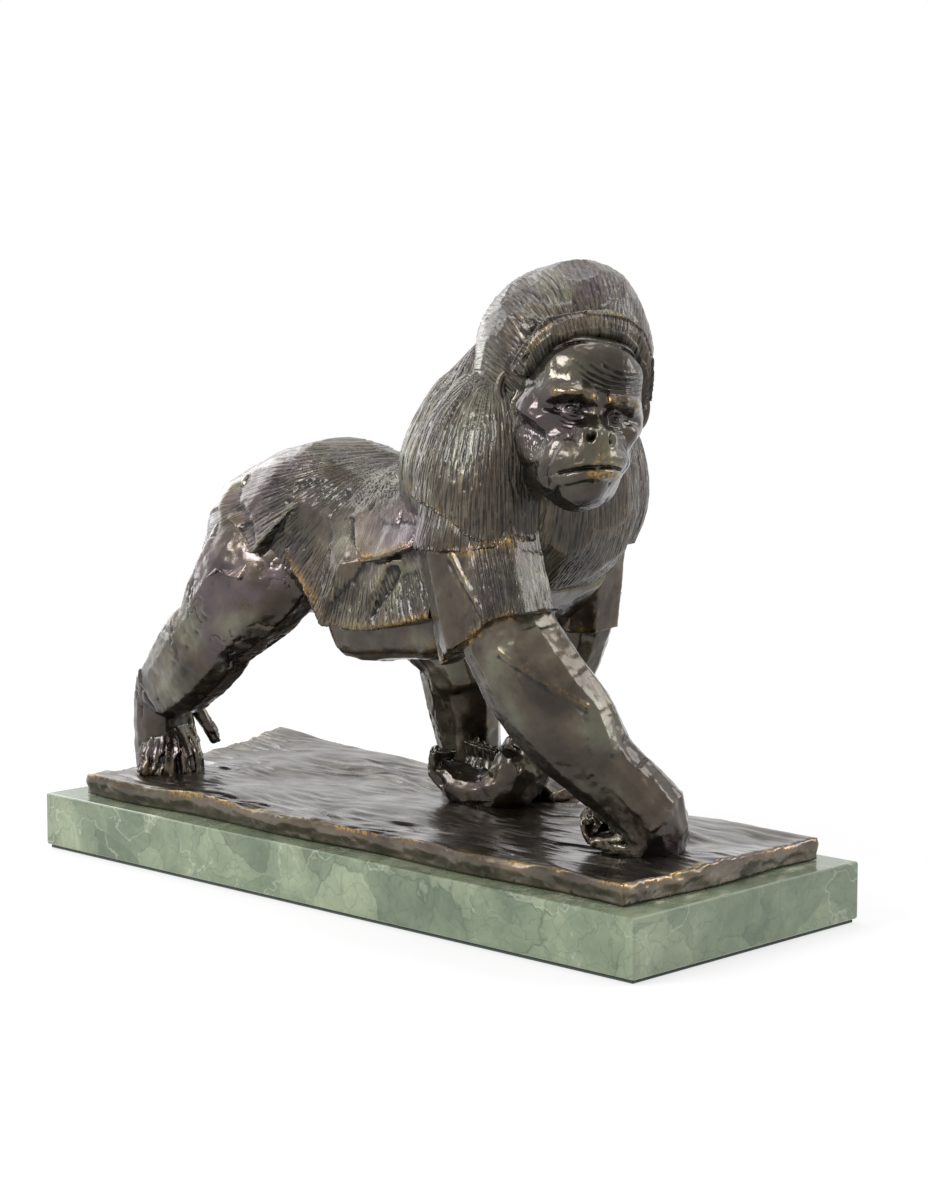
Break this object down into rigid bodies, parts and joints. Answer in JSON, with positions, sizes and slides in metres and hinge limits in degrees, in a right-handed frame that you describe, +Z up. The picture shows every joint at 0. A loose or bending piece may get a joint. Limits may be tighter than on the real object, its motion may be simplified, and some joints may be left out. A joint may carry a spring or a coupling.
{
  "type": "gorilla figurine",
  "caption": "Dark bronze gorilla walking on its knuckles over an uneven ground plate, screwed to a polished green marble plinth with felt under it.",
  "frame": {"origin": "middle of the felt's underside, on the surface that the figurine stands on", "axes": "+X along the plinth towards the gorilla's head, +Y to the gorilla's left, +Z up"},
  "size_m": [0.35, 0.138, 0.2648],
  "materials": {
    "bronze": "dark brown patina with rubbed golden edges",
    "marble": "polished green marble with pale and dark veins",
    "felt": "dark felt",
    "steel": "zinc plated"
  },
  "bodies": {
    "root": {"bronze_gorilla": "bronze", "marble_plinth": "marble", "felt_pad": "felt", "mounting_screw_front": "steel", "mounting_screw_rear": "steel", "washer_front": "steel", "washer_rear": "steel"}
  },
  "joints": []
}
